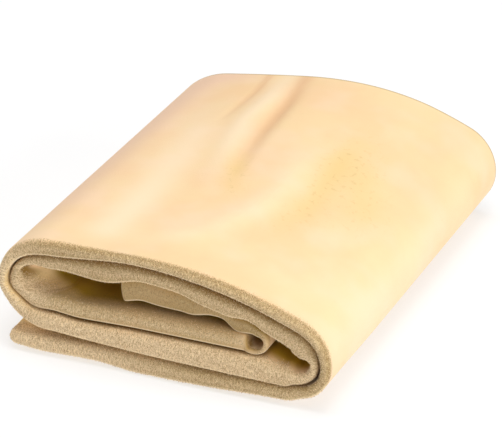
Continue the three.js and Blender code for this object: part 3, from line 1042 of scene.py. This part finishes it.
    def _press_dents(self) -> None:
        """Press the soft dents into the outer ply of the roll's top, and mark its tones."""
        rows = slice(self.starts[Node.RIGHT_OUTER], self.starts[Node.LOWER])
        columns = slice(0, self.ply_columns + 1)
        patch, facing = self.places[rows, columns], self.normals[rows, columns]
        push = sum(dent.at(patch[..., 0], patch[..., 1]) for dent in TopMarks.DENTS)
        from_back = self.roll.sizes.length / 2 - patch[..., 1]
        push = push * np.clip(facing[..., 2], 0, 1) * smooth(from_back / self.dent_fade)
        self.tone_shares = {tone: np.zeros(self.places.shape[:2]) for tone in Tone}
        for tone, strokes in TopMarks.TONES.items():
            for stroke in strokes:
                self.tone_shares[tone][rows, columns] += stroke.at(patch[..., 0], patch[..., 1])
        patch -= facing * push[..., None]
        self.normals = self._facing()

    def _facing(self) -> np.ndarray:
        """Return the direction that the leather's outer side faces at every point."""
        return unit(np.cross(np.gradient(self.places, axis=0), np.gradient(self.places, axis=1)))

    def _measure(self) -> None:
        """Measure the skin along the roll, and across it from the apex of the front fold."""
        steps = np.linalg.norm(np.diff(self.places, axis=1), axis=-1)
        from_edge = np.concatenate([np.zeros((len(steps), 1)), np.cumsum(steps, axis=1)], axis=1)
        self.apex = from_edge.shape[1] // 2
        self.across = from_edge - from_edge[:, self.apex : self.apex + 1]
        along = np.linalg.norm(np.diff(self.places, axis=0), axis=-1).mean(axis=1)
        self.along = np.concatenate([[0.0], np.cumsum(along)])
        to_edge = np.minimum(from_edge, from_edge[:, -1:] - from_edge)
        self.edge = 1 - smooth(to_edge / self.cut_edge)

    def _mark_fields(self) -> None:
        """Say where the skin shows its nap, and where painted shade falls deep in the roll, along the folds
        and in tight gaps, and painted rim light along their lower edges.
        """

        def read(name: str) -> np.ndarray:
            """Read one of the folds' values, one row a station."""
            return self.roll.folds.read(name, self.walk)[:, None]

        away, half, shown = np.abs(self.across), self.half[:, None], read("nap")
        outside = self.across < 0
        self.front = away / (half * np.where(outside, read("reach"), read("inner_reach")))
        self.bared = np.broadcast_to(self.bare * (1 - shown), away.shape)
        past_nap = (self.front + self.bared - self.nap_near) / (self.nap_far - self.nap_near)
        self.nap = np.where(shown > self.least_nap, shown * (1 - smooth(past_nap)), 0.0)
        # Painted shade of the hollow, deep in the roll and between its layers.
        self.deep = smooth((away - read("dusk")) / self.dusk_reach)
        self.deep[: self.starts[Node.LOWER]] = 0.0
        self.deep[: self.starts[Node.CURL], : self.apex + 1] = 0.0
        # Painted shade along the folds that lie back or under an overhang, from the knots.
        self.shade = np.broadcast_to(read("shade"), away.shape)
        # Painted rim light, as bounced up from the floor, on the fold's faces that face down.
        facing_down = smooth((-self.normals[..., 2] - self.rim_near) / (self.rim_far - self.rim_near))
        self.rim = facing_down * (1 - smooth(away / half - 1))
        # Painted shade in the tight gaps beside each fold.
        pinch = np.where(outside, read("outer_pinch"), read("inner_pinch"))
        near = np.where(outside, self.outer_pinch_near, self.inner_pinch_near)
        self.pinch = pinch * smooth((away / half - near) / (self.pinch_far - near))
        self.pinch *= 1 - smooth((away / half - self.pinch_fade) / self.pinch_fade)
        self.tone_shares[Tone.OCHRE] = np.where(outside, 0.0, read("ochre"))

    def span(self, first: Node, last: Node) -> slice:
        """Find the rows of the stretches from one to another.

        Args:
            first: The first stretch.
            last: The last one.

        Returns:
            Their rows, with those at both ends.
        """
        order = list(Node)
        after = order.index(last) + 1
        end = self.starts[order[after]] if after < len(order) else len(self.walk) - 1
        return slice(self.starts[first], end + 1)


@dataclass(frozen=True)
class Grain:
    """A noise in the leather.

    Attributes:
        size: About how large its lumps are, in metres.
        detail: How much finer noise lies in it.
        low: The noise up to which it doesn't show.
        high: The noise from which on it shows fully.
        weight: How far it shows then, from 0 to 1.
        fray: How far it moves the edge of the nap, against the reach of the nap.
    """

    size: float
    detail: float
    low: float = 0.0
    high: float = 1.0
    weight: float = 1.0
    fray: float = 0.0

    def shown(self, noise: "Flow") -> "Flow":
        """Return how far the noise shows at each place."""
        return noise.between(self.low, self.high) * self.weight

    def frayed(self, noise: "Flow") -> "Flow":
        """Return how far the noise moves the edge of the nap at each place."""
        return (noise - NOISE_MIDDLE) * self.fray


@dataclass(frozen=True)
class SuedeFinish:
    """Colours and grain of the suede.

    Lengths are in metres, and colours are linear. Near and far values are distances from the apex
    of the front fold, against the reach of the nap.
    """

    cream: Colour = (0.88, 0.643, 0.36, 1.0)
    peach: Colour = (0.88, 0.602, 0.333, 1.0)
    blush: Colour = (0.92, 0.68, 0.48, 1.0)
    mauve: Colour = (0.84, 0.58, 0.40, 1.0)
    # Pinkish brown, partly painted shade in the dents of the top.
    rosy: Colour = (0.78, 0.49, 0.27, 1.0)
    # Pale, partly painted highlight on the ridges and sides of the top.
    pale: Colour = (0.94, 0.75, 0.51, 1.0)
    golden: Colour = (0.83, 0.58, 0.26, 1.0)
    ochre: Colour = (0.86, 0.64, 0.27, 1.0)
    # Painted shade of the hollow: a dark, saturated colour where little light reaches.
    hollow: Colour = (0.58, 0.37, 0.012, 1.0)
    # Painted shade: the folds' colour is multiplied towards this where they lie back or under an overhang.
    olive: Colour = (0.46, 0.40, 0.22, 1.0)
    pit: Colour = (0.66, 0.46, 0.20, 1.0)
    # Painted rim light on the folds' downward-facing edges.
    rim: Colour = (0.97, 0.80, 0.52, 1.0)
    cut: Colour = (0.50, 0.38, 0.20, 1.0)
    # Painted shade of the tight gaps between layers.
    crevice: Colour = (0.27, 0.145, 0.028, 1.0)
    nap_light: Colour = (1.0, 0.80, 0.52, 1.0)
    nap_dark: Colour = (0.38, 0.225, 0.085, 1.0)
    fibre_light: Colour = (1.0, 0.81, 0.53, 1.0)
    fibre_dark: Colour = (0.44, 0.26, 0.11, 1.0)
    mottle: Grain = Grain(0.034, 3.0, 0.3, 0.7, 0.9, fray=0.5)
    clouds: Grain = Grain(0.026, 2.0, 0.38, 0.78, 0.45)
    pits: Grain = Grain(0.0026, 5.0, 0.56, 0.7)
    tufts: Grain = Grain(0.0014, 3.0, fray=0.9)
    grain: Grain = Grain(0.0005, 3.0, 0.3, 0.7, 0.2, fray=2.4)
    strands: Grain = Grain(0.0015, 2.0, 0.32, 0.68, 0.35)
    strand_slimness: float = 2.6
    cell_size: float = 0.0003
    cell_weight: float = 0.45
    noise_roughness: float = 0.6
    pits_plain: float = 0.03
    pits_scuffed: float = 0.6
    speckle_least: float = 0.08
    speckle_gain: float = 1.1
    nap_near: float = 0.6
    nap_far: float = 1.65
    # How the nap's ragged edge darkens, as far as the painted shade of the fold reaches.
    fringe_near: float = 0.4
    fringe: float = 0.9
    # Where the painted shade of the folds fades, and how much darker it is towards the nap's edge than at
    # the apex, a painted rounding of the fold.
    shade_near: float = 0.7
    shade_far: float = 2.0
    shade_full: float = 0.9
    shade_least: float = 0.7
    shade_gain: float = 0.6
    rim_least: float = 0.6
    rim_speckle: float = 0.4
    cut_near: float = 0.8
    roughness: float = 0.92
    sheen: float = 0.15
    sheen_roughness: float = 0.5
    shine: float = 0.15
    fibre_roughness: float = 1.0
    fibre_shine: float = 0.1
    bump: float = 0.00018
    bump_smooth: float = 0.2
    bump_nap: float = 0.8
    bump_mottle: float = 0.6


Wire: TypeAlias = "Flow | float | Sequence[float] | str"


class Flow:
    """A socket that works in sums as a number does, each sum adding its Math node."""

    def __init__(self, graph: "Graph", socket: bpy.types.NodeSocket) -> None:
        """Keep the socket and the graph that it is part of."""
        self.graph = graph
        self.socket = socket

    def _sum(self, operation: str, *terms: Wire) -> "Flow":
        """Add a Math node with these terms and return its result."""
        return self.graph.node("ShaderNodeMath", {"operation": operation}, dict(enumerate(terms)))

    def __add__(self, other: Wire) -> "Flow":
        """Return the sum."""
        return self._sum("ADD", self, other)

    __radd__ = __add__

    def __mul__(self, other: Wire) -> "Flow":
        """Return the product."""
        return self._sum("MULTIPLY", self, other)

    __rmul__ = __mul__

    def __sub__(self, other: Wire) -> "Flow":
        """Return the difference."""
        return self._sum("SUBTRACT", self, other)

    def __rsub__(self, other: Wire) -> "Flow":
        """Return the difference with this value taken away."""
        return self._sum("SUBTRACT", other, self)

    def __truediv__(self, other: Wire) -> "Flow":
        """Return the quotient."""
        return self._sum("DIVIDE", self, other)

    def between(self, low: float, high: float) -> "Flow":
        """Return a smooth rise from 0 at low to 1 at high."""
        return self.graph.node(
            "ShaderNodeMapRange",
            {"interpolation_type": "SMOOTHSTEP"},
            {"Value": self, "From Min": low, "From Max": high},
        )


class Graph:
    """A node tree that is written in Python."""

    def __init__(self, tree: bpy.types.NodeTree) -> None:
        """Start from an empty tree.

        Args:
            tree: The tree to fill.
        """
        self.tree = tree
        tree.nodes.clear()

    def node(
        self,
        kind: str,
        settings: dict[str, object] | None = None,
        inputs: dict[str | int, Wire] | None = None,
        output: str | int = 0,
    ) -> Flow:
        """Add a node.

        Args:
            kind: The node's type.
            settings: Its own properties, set before its sockets.
            inputs: Values or links of its sockets, by name or number.
            output: The socket to return.

        Returns:
            The output socket.
        """
        made = self.tree.nodes.new(kind)
        for name, value in (settings or {}).items():
            setattr(made, name, value)
        for name, value in (inputs or {}).items():
            if isinstance(value, Flow):
                self.tree.links.new(value.socket, made.inputs[name])
            else:
                made.inputs[name].default_value = value
        return Flow(self, made.outputs[output]) if made.outputs else Flow(self, made.inputs[0])

    def mix(self, share: Wire, first: Wire, second: Wire, blend: str = "MIX") -> Flow:
        """Mix two colours by a share of the second."""
        settings = {"data_type": "RGBA", "blend_type": blend}
        colours = {MIX_SHARE: share, MIX_FIRST: first, MIX_SECOND: second}
        return self.node("ShaderNodeMix", settings, colours, MIX_RESULT)

    def finish(self, surface: Flow, kind: str = "ShaderNodeOutputMaterial") -> None:
        """End the tree with a surface."""
        self.node(kind, None, {"Surface": surface})


class Suede:
    """The materials of the skin: cream suede that shows its nap along the front folds, and fibres."""

    def __init__(self, finish: SuedeFinish) -> None:
        """Keep the finish.

        Args:
            finish: The colours and grain.
        """
        self.finish = finish

    def skin(self) -> bpy.types.Material:
        """Build the material of the leather itself.

        Returns:
            The material.
        """
        f = self.finish
        material = bpy.data.materials.new("suede")
        material.use_nodes = True
        g = Graph(material.node_tree)
        place = g.node("ShaderNodeUVMap", {"uv_map": SKIN_MAP})
        mottle, grain, tufts = (self._noise(g, place, kind) for kind in (f.mottle, f.grain, f.tufts))
        speckle = self._speckle(g, place, grain)
        front, shade = self._field(g, FRONT_FIELD), self._field(g, SHADE_FIELD)
        ragged = front + f.grain.frayed(grain) + f.tufts.frayed(tufts) + f.mottle.frayed(mottle)
        nap = 1 - (ragged + self._field(g, BARE_FIELD)).between(f.nap_near, f.nap_far)
        napped = g.mix(speckle * f.speckle_gain + f.speckle_least, f.nap_dark, f.nap_light)
        colour = g.mix(nap, self._smooth_side(g, place, mottle), napped)
        # Painted shade at the nap's ragged edge, as strong as the fold's painted shade there.
        fringe = shade * nap * ragged.between(f.fringe_near, f.nap_far)
        colour = g.mix(fringe * f.fringe, colour, f.nap_dark)
        # Painted shade of the folds, darker towards the nap's edge than at the apex.
        fold_roundness_shade = front.between(0.0, f.shade_full) * f.shade_gain + f.shade_least
        shade = shade * (1 - ragged.between(f.shade_near, f.shade_far)) * fold_roundness_shade
        colour = g.mix(shade, colour, f.olive, "MULTIPLY")
        # Painted rim light along the folds' lower edges.
        colour = g.mix(self._field(g, PAINTED_RIM_FIELD) * (speckle * f.rim_speckle + f.rim_least), colour, f.rim)
        colour = g.mix(self._field(g, EDGE_FIELD).between(f.cut_near, 1.0), colour, f.cut)
        # Painted shade in the tight gaps between layers.
        colour = g.mix(self._field(g, PINCH_FIELD), colour, f.crevice)
        height = speckle * (nap * f.bump_nap + f.bump_smooth) + mottle * f.bump_mottle
        bump = g.node("ShaderNodeBump", None, {"Strength": 1.0, "Distance": f.bump, "Height": height})
        look = {
            "Base Color": colour,
            "Roughness": f.roughness,
            "Sheen Weight": f.sheen,
            "Sheen Roughness": f.sheen_roughness,
            "Specular IOR Level": f.shine,
            "Normal": bump,
        }
        g.finish(g.node("ShaderNodeBsdfPrincipled", None, look))
        return material

    def _speckle(self, g: Graph, place: Flow, grain: Flow) -> Flow:
        """Lay the light and dark specks of the nap.

        Args:
            g: The material's graph.
            place: Places on the skin.
            grain: The leather's finest noise.

        Returns:
            How light each speck is.
        """
        f = self.finish
        spread = {"Vector": place, "Scale": 1 / f.cell_size}
        cells = g.node("ShaderNodeTexVoronoi", {"voronoi_dimensions": "2D"}, spread, "Color")
        slim = {0: place, 1: (f.strand_slimness, 1.0, 1.0)}
        combed = g.node("ShaderNodeVectorMath", {"operation": "MULTIPLY"}, slim)
        strands = self._noise(g, combed, f.strands)
        dots = g.node("ShaderNodeSeparateColor", None, {"Color": cells})
        return dots * f.cell_weight + f.grain.shown(grain) + f.strands.shown(strands)

    def _smooth_side(self, g: Graph, place: Flow, mottle: Flow) -> Flow:
        """Colour the leather where its nap doesn't show, with the painted shade of the hollow.

        Args:
            g: The material's graph.
            place: Places on the skin.
            mottle: The leather's broadest noise.

        Returns:
            The colour.
        """
        f = self.finish
        colour = g.mix(f.mottle.shown(mottle), f.cream, f.peach)
        colour = g.mix(f.clouds.shown(self._noise(g, place, f.clouds)), colour, f.blush)
        for tone in Tone:
            colour = g.mix(self._field(g, tone.value), colour, getattr(f, tone.value))
        scuffed = self._field(g, Tone.GOLDEN.value) * f.pits_scuffed + f.pits_plain
        colour = g.mix(f.pits.shown(self._noise(g, place, f.pits)) * scuffed, colour, f.pit)
        # Painted shade of the hollow.
        return g.mix(self._field(g, HOLLOW_SHADE_FIELD), colour, f.hollow)

    def fibres(self) -> tuple[bpy.types.Material, bpy.types.Material]:
        """Build the materials of the light and the dark fibres of the nap.

        Returns:
            The light one and the dark one.
        """
        f = self.finish
        return self._fibre("light_fibre", f.fibre_light), self._fibre("dark_fibre", f.fibre_dark)

    def _fibre(self, name: str, colour: Colour) -> bpy.types.Material:
        """Build the material of fibres of one colour.

        Args:
            name: The material's name.
            colour: The fibres' colour.

        Returns:
            The material.
        """
        f = self.finish
        material = bpy.data.materials.new(name)
        material.use_nodes = True
        g = Graph(material.node_tree)
        look = {"Base Color": colour, "Roughness": f.fibre_roughness, "Specular IOR Level": f.fibre_shine}
        g.finish(g.node("ShaderNodeBsdfPrincipled", None, look))
        return material

    @staticmethod
    def _field(graph: Graph, name: str) -> Flow:
        """Read a field that the mesh holds."""
        return graph.node("ShaderNodeAttribute", {"attribute_name": name}, output="Fac")

    def _noise(self, graph: Graph, place: Flow, grain: Grain) -> Flow:
        """Add a noise with the lumps of a grain.

        Args:
            graph: The material's graph.
            place: Places on the skin.
            grain: The grain.

        Returns:
            The noise.
        """
        lumps = {"Vector": place, "Scale": 1 / grain.size, "Detail": grain.detail}
        lumps["Roughness"] = self.finish.noise_roughness
        return graph.node("ShaderNodeTexNoise", {"noise_dimensions": "2D"}, lumps)


@dataclass
class Run:
    """A run of the skin that is one sheet: its stretches, its mesh and how it moves."""

    skin: Skin
    finish: bpy.types.Material
    name: str = "skin"
    first: Node = Node.TAIL
    last: Node = Node.TONGUE
    free_start: bool = False
    free_end: bool = False
    rests_on: tuple[str, ...] = ()
    rim: float = 0.4

    def build(self) -> bpy.types.Object:
        """Make the sheet with its thickness and finish.

        Returns:
            The sheet, not yet on a body.
        """
        rows = self.skin.span(self.first, self.last)
        places, normals = self.skin.places[rows], self.skin.normals[rows]
        ply = self.skin.roll.sizes.ply
        count, wide = places.shape[:2]
        grid = np.arange(count * wide).reshape(count, wide)
        loop = np.concatenate([grid[:-1, 0], grid[-1, :-1], grid[:0:-1, -1], grid[0, :0:-1]])
        outwards = self._edge_directions(places).reshape(-1, 3)[loop]
        flat = places.reshape(-1, 3)
        points = np.concatenate(
            [
                (places + normals * ply / 2).reshape(-1, 3),
                (places - normals * ply / 2).reshape(-1, 3),
                flat[loop] + outwards * (self.rim * ply),
            ]
        )
        corners = (grid[:-1, :-1], grid[1:, :-1], grid[1:, 1:], grid[:-1, 1:])
        quads = np.stack(corners, axis=-1).reshape(-1, len(corners))
        inner = grid.size
        middle = 2 * grid.size + np.arange(len(loop))
        after, middle_after = np.roll(loop, -1), np.roll(middle, -1)
        rim_out = np.stack([after, loop, middle, middle_after], axis=-1)
        rim_in = np.stack([middle_after, middle, loop + inner, after + inner], axis=-1)
        faces = np.concatenate([quads, quads[:, ::-1] + inner, rim_out, rim_in])
        mesh = bpy.data.meshes.new(self.name)
        mesh.from_pydata(points * MM, [], faces)
        mesh.polygons.foreach_set("use_smooth", np.ones(len(faces), dtype=bool))
        self._write_fields(mesh, rows, loop)
        self._write_normals(mesh, normals.reshape(-1, 3), loop, faces, len(quads))
        mesh.materials.append(self.finish)
        mesh.validate()
        piece = bpy.data.objects.new(self.name, mesh)
        bpy.context.scene.collection.objects.link(piece)
        return piece

    def _edge_directions(self, places: np.ndarray) -> np.ndarray:
        """Find the directions in which the free edges of the run point.

        Args:
            places: The run's grid of points.

        Returns:
            The directions, which are zero away from the free edges.
        """
        out = np.zeros_like(places)
        along = np.gradient(places, axis=0)
        across = np.gradient(places, axis=1)
        out[:, 0] -= unit(across[:, 0])
        out[:, -1] += unit(across[:, -1])
        if self.free_start:
            out[0] -= unit(along[0])
        if self.free_end:
            out[-1] += unit(along[-1])
        return out

    def _write_fields(self, mesh: bpy.types.Mesh, rows: slice, loop: np.ndarray) -> None:
        """Store the skin's own coordinates and the fields that its finish and its nap read.

        Args:
            mesh: The run's mesh.
            rows: The rows of the skin that it holds.
            loop: The points of its edge, in order.
        """
        skin = self.skin
        across = skin.across[rows]
        along = np.broadcast_to(skin.along[rows][:, None], across.shape)
        on_skin = np.stack([along, across], axis=-1).reshape(-1, 2) * MM
        on_skin = np.concatenate([on_skin, on_skin, on_skin[loop]])
        outer_only = {NAP_FIELD: skin.nap[rows]}
        both = {
            FRONT_FIELD: skin.front[rows],
            BARE_FIELD: skin.bared[rows],
            HOLLOW_SHADE_FIELD: skin.deep[rows],
            SHADE_FIELD: skin.shade[rows],
            EDGE_FIELD: skin.edge[rows],
            PAINTED_RIM_FIELD: skin.rim[rows],
            PINCH_FIELD: skin.pinch[rows],
        }
        both |= {tone.value: share[rows] for tone, share in skin.tone_shares.items()}
        for name, grid in (outer_only | both).items():
            values = grid.reshape(-1)
            inside = values if name in both else np.zeros_like(values)
            values = np.concatenate([values, inside, inside[loop]]).astype(np.float32)
            mesh.attributes.new(name, "FLOAT", "POINT").data.foreach_set("value", values)
        corners = np.zeros(len(mesh.loops), dtype=np.int32)
        mesh.loops.foreach_get("vertex_index", corners)
        layer = mesh.uv_layers.new(name=SKIN_MAP)
        layer.data.foreach_set("uv", on_skin[corners].astype(np.float32).ravel())

    def _write_normals(
        self, mesh: bpy.types.Mesh, normals: np.ndarray, loop: np.ndarray, faces: np.ndarray, quads: int
    ) -> None:
        """Shade the run as a part of the whole skin, so that runs meet without a line.

        Args:
            mesh: The run's mesh.
            normals: The whole skin's directions at the run's points.
            loop: The points of its edge, in order.
            faces: Its faces.
            quads: How many faces each side has.
        """
        sides = np.concatenate([normals, -normals, np.zeros((len(loop), 3))])
        shading = sides[faces]
        points = np.array([vertex.co for vertex in mesh.vertices])
        rim = faces[2 * quads :]
        cross = np.cross(points[rim[:, 1]] - points[rim[:, 0]], points[rim[:, 2]] - points[rim[:, 0]])
        shading[2 * quads :] = unit(cross)[:, None, :]
        mesh.normals_split_custom_set(shading.reshape(-1, 3).tolist())

    def flat_size(self) -> tuple[float, float]:
        """Measure the run along its grid, as if it were laid out flat.

        Returns:
            Its width and length, in metres.
        """
        rows = self.skin.span(self.first, self.last)
        across, along = self.skin.across[rows], self.skin.along[rows]
        return float((across[:, -1] - across[:, 0]).mean()) * MM, float(along[-1] - along[0]) * MM

    def carry(self, piece: bpy.types.Object) -> None:
        """Put a piece of the run on the body or bodies that it moves with."""
        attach(piece, Body.ROLL.value)

    def dress(self, nap: "Nap") -> list[bpy.types.Object]:
        """Build the run with its nap, carry both and hide the parts that it stands for.

        Args:
            nap: The nap that grows on it.

        Returns:
            The sheet and its nap.
        """
        order = list(Node)
        piece = self.build()
        fibres = nap.grow(piece)
        for made in (piece, fibres):
            self.carry(made)
        stands_for = order[order.index(self.first) : order.index(self.last) + 1]
        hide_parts(*(node.value for node in stands_for))
        self.flat_size()
        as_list(self.rests_on)
        return [piece, fibres]


@dataclass
class Tail(Run):
    """The outer end of the skin, which lies on the table and carries the roll."""

    name: str = "tail_skin"
    first: Node = Node.TAIL
    last: Node = Node.TAIL
    free_start: bool = True

    def carry(self, piece: bpy.types.Object) -> None:
        """Keep the piece on the table."""
        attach(piece, Body.TAIL.value)


@dataclass
class OuterTurn(Run):
    """The outer turn: up the right side, over the top and down the left side."""

    name: str = "outer_skin"
    first: Node = Node.RIGHT_OUTER
    last: Node = Node.LEFT_OUTER
    rests_on: tuple[str, ...] = ("inner_skin",)
    lean: float = 0.25
    bend_reach: float = 21.6

    def carry(self, piece: bpy.types.Object) -> None:
        """Bake the piece's place into its mesh, leaving it off every body.

        Args:
            piece: The sheet or its nap.
        """
        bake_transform(piece)


@dataclass
class InnerTurn(Run):
    """The inner turn, from the leaf on the tail to the floor of the hollow."""

    name: str = "inner_skin"
    first: Node = Node.LOWER
    last: Node = Node.FLOOR
    rests_on: tuple[str, ...] = ("tail_skin",)


@dataclass
class Tongue(Run):
    """The inner end: the curl and the tongue that it springs up."""

    name: str = "tongue_skin"
    first: Node = Node.CURL
    last: Node = Node.TONGUE
    free_end: bool = True
    rests_on: tuple[str, ...] = ("inner_skin",)
    bend_reach: float = 1.4

    def carry(self, piece: bpy.types.Object) -> None:
        """Bake the piece's place into its mesh, leaving it off every body.

        Args:
            piece: The sheet or its nap.
        """
        roll = self.skin.roll
        start = Vector((roll.curl_x, 0, roll.curl_level + roll.sizes.curl / 2))
        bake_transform(piece)


@dataclass
class Nap:
    """Short loose fibres that stand out of the front folds."""

    light: bpy.types.Material
    dark: bpy.types.Material
    density: float = 5.5e6
    length: float = 0.0005
    root: float = 0.00007
    lean: float = 0.9
    shortest: float = 0.5
    longest: float = 1.3
    dark_share: float = 0.33
    seed: int = 7

    def grow(self, piece: bpy.types.Object) -> bpy.types.Object:
        """Grow the fibres on a sheet.

        Args:
            piece: The sheet, with the field that says where its nap is.

        Returns:
            The fibres as one plain mesh.
        """
        name = piece.name.replace("skin", "nap")
        base = bpy.data.objects.new(name, piece.data)
        bpy.context.scene.collection.objects.link(base)
        modifier = base.modifiers.new("nap", "NODES")
        modifier.node_group = self._tree()
        sizes = {"Density": self.density, "Length": self.length, "Root": self.root, "Lean": self.lean}
        for socket in modifier.node_group.interface.items_tree:
            if socket.name in sizes:
                modifier[socket.identifier] = sizes[socket.name]
            elif socket.name == "Seed":
                modifier[socket.identifier] = self.seed
        evaluated = base.evaluated_get(bpy.context.evaluated_depsgraph_get())
        grown = bpy.data.meshes.new_from_object(evaluated)
        base.modifiers.remove(modifier)
        grown.name = name
        base.data = grown
        return base

    def _tree(self) -> bpy.types.NodeTree:
        """Build the node tree that grows the fibres.

        Returns:
            The tree.
        """
        tree = bpy.data.node_groups.new("nap", "GeometryNodeTree")
        g = Graph(tree)
        tree.interface.new_socket("Geometry", in_out="INPUT", socket_type="NodeSocketGeometry")
        for name in ("Density", "Length", "Root", "Lean"):
            tree.interface.new_socket(name, in_out="INPUT", socket_type="NodeSocketFloat")
        tree.interface.new_socket("Seed", in_out="INPUT", socket_type="NodeSocketInt")
        tree.interface.new_socket("Geometry", in_out="OUTPUT", socket_type="NodeSocketGeometry")
        entry = tree.nodes.new("NodeGroupInput")
        sheet, density, length, root, lean, seed = (Flow(g, socket) for socket in entry.outputs[:-1])
        where = g.node("GeometryNodeInputNamedAttribute", {"data_type": "FLOAT"}, {"Name": NAP_FIELD})
        spread = g.node(
            "GeometryNodeDistributePointsOnFaces",
            {"distribute_method": "RANDOM"},
            {"Mesh": sheet, "Density": density * where, "Seed": seed},
        )
        normal = Flow(g, spread.socket.node.outputs["Normal"])
        sway = g.node(
            "FunctionNodeRandomValue",
            {"data_type": "FLOAT_VECTOR"},
            {0: (-1.0, -1.0, -1.0), 1: (1.0, 1.0, 1.0), "Seed": seed},
        )
        leaning = g.node("ShaderNodeVectorMath", {"operation": "SCALE"}, {0: sway, "Scale": lean})
        aim = g.node("ShaderNodeVectorMath", {"operation": "ADD"}, {0: normal, 1: leaning})
        turned = g.node("FunctionNodeAlignRotationToVector", {"axis": "Z"}, {"Vector": aim})
        grown = g.node(
            "FunctionNodeRandomValue",
            {"data_type": "FLOAT"},
            {RANDOM_LEAST: self.shortest, RANDOM_MOST: self.longest, "Seed": seed},
            RANDOM_NUMBER,
        )
        fibre = g.node(
            "GeometryNodeMeshCone",
            {"fill_type": "NGON"},
            {"Vertices": FIBRE_SIDES, "Radius Top": 0.0, "Radius Bottom": root, "Depth": length},
        )
        placed = g.node(
            "GeometryNodeInstanceOnPoints",
            None,
            {"Points": spread, "Instance": fibre, "Rotation": turned, "Scale": grown},
        )
        real = g.node("GeometryNodeRealizeInstances", None, {"Geometry": placed})
        number = g.node("GeometryNodeInputIndex") / FIBRE_FACES
        fibre_number = g.node("ShaderNodeMath", {"operation": "FLOOR"}, {0: number})
        chosen = g.node(
            "FunctionNodeRandomValue",
            {"data_type": "BOOLEAN"},
            {"Probability": self.dark_share, "ID": fibre_number},
            RANDOM_CHOICE,
        )
        dressed = g.node("GeometryNodeSetMaterial", None, {"Geometry": real, "Material": self.light})
        dressed = g.node(
            "GeometryNodeSetMaterial",
            None,
            {"Geometry": dressed, "Selection": chosen, "Material": self.dark},
        )
        g.node("NodeGroupOutput", None, {0: dressed})
        return tree


@dataclass(frozen=True)
class SoftBox:
    """A square soft light that faces the middle of the floor, in metres and watts."""

    name: str
    place: tuple[float, float, float]
    power: float
    size: float = 1.0

    def hang(self) -> bpy.types.Object:
        """Hang the light.

        Returns:
            The light.
        """
        data = bpy.data.lights.new(self.name, "AREA")
        data.size = self.size
        data.energy = self.power
        light = bpy.data.objects.new(self.name, data)
        light.location = self.place
        light.rotation_euler = Vector(self.place).to_track_quat("Z", "Y").to_euler()
        bpy.context.scene.collection.objects.link(light)
        return light


@dataclass
class Studio:
    """A pale floor, soft light from above and from the sides, and the camera."""

    azimuth: float = 22.91
    elevation: float = 28.2
    distance: float = 2.5
    pixels_per_metre: float = 2504.0
    aim_up: float = 0.02356
    aim_right: float = -0.00016
    sensor: float = 36.0
    floor_size: float = 12.0
    floor_drop: float = 0.0003
    floor_colour: Colour = (0.40, 0.40, 0.40, 1.0)
    floor_glow: float = 0.59
    sky: Colour = (1.0, 1.0, 1.0, 1.0)
    sky_strength: float = 0.187
    boxes: tuple[SoftBox, ...] = (
        SoftBox("overhead", (0.0, 0.0, 1.8), 16.0),
        SoftBox("front", (0.6, -0.6, 1.59), 8.0),
        SoftBox("low_front", (1.42, -1.0, 0.47), 10.0),
        SoftBox("right", (1.71, 0.0, 0.56), 11.0),
        SoftBox("left", (-1.27, 0.0, 1.27), 7.0),
    )

    def camera(self) -> bpy.types.Object:
        """Set the camera at the photograph's viewing angle.

        Returns:
            The camera.
        """
        turn, tilt = math.radians(self.azimuth), math.radians(self.elevation)
        right = Vector((math.cos(turn), math.sin(turn), 0))
        back = Vector((math.sin(turn) * math.cos(tilt), -math.cos(turn) * math.cos(tilt), math.sin(tilt)))
        aim = back.cross(right) * self.aim_up + right * self.aim_right
        data = bpy.data.cameras.new("camera")
        data.sensor_width = self.sensor
        data.lens = self.sensor * self.pixels_per_metre * self.distance / PICTURE_WIDTH
        camera = bpy.data.objects.new("camera", data)
        camera.location = aim + back * self.distance
        camera.rotation_euler = (-back).to_track_quat("-Z", "Y").to_euler()
        bpy.context.scene.collection.objects.link(camera)
        bpy.context.scene.camera = camera
        return camera

    def floor(self) -> bpy.types.Object:
        """Lay the pale floor.

        Returns:
            The floor.
        """
        half = self.floor_size / 2
        corners = [(-half, -half), (half, -half), (half, half), (-half, half)]
        mesh = bpy.data.meshes.new("floor")
        mesh.from_pydata([(x, y, -self.floor_drop) for x, y in corners], [], [(0, 1, 2, 3)])
        material = bpy.data.materials.new("floor")
        material.use_nodes = True
        g = Graph(material.node_tree)
        pale = g.node("ShaderNodeBsdfDiffuse", None, {"Color": self.floor_colour})
        glow = g.node("ShaderNodeEmission", None, {"Color": self.sky, "Strength": self.floor_glow})
        g.finish(g.node("ShaderNodeAddShader", None, {0: pale, 1: glow}))
        mesh.materials.append(material)
        floor = bpy.data.objects.new("floor", mesh)
        bpy.context.scene.collection.objects.link(floor)
        floor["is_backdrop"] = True
        return floor

    def light(self) -> None:
        """Hang the soft lights and set the sky."""
        for box in self.boxes:
            box.hang()
        world = bpy.data.worlds.new("sky")
        world.use_nodes = True
        g = Graph(world.node_tree)
        sky = g.node("ShaderNodeBackground", None, {"Color": self.sky, "Strength": self.sky_strength})
        g.finish(sky, "ShaderNodeOutputWorld")
        bpy.context.scene.world = world


def main() -> None:
    """Build the studio and the skin, run by run."""
    logging.basicConfig(level=logging.INFO, format="%(name)s: %(message)s")
    low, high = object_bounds()
    extent = (high - low) / MM
    studio = Studio()
    studio.camera()
    studio.floor()
    studio.light()
    bpy.context.scene.view_settings.view_transform = "Standard"
    sizes = SkinSizes(width=round(extent.x, 1), length=round(extent.y, 1))
    skin = Skin(Roll(sizes, FrontFolds()))
    suede = Suede(SuedeFinish())
    leather = suede.skin()
    nap = Nap(*suede.fibres())
    for kind in (Tail, OuterTurn, InnerTurn, Tongue):
        run = kind(skin, leather)
        for piece in run.dress(nap):
            LOG.info("%s: %d faces", piece.name, len(piece.data.polygons))
        LOG.info("%s laid flat: %.3f by %.3f m", run.name, *run.flat_size())


if __name__ == "__main__":
    main()
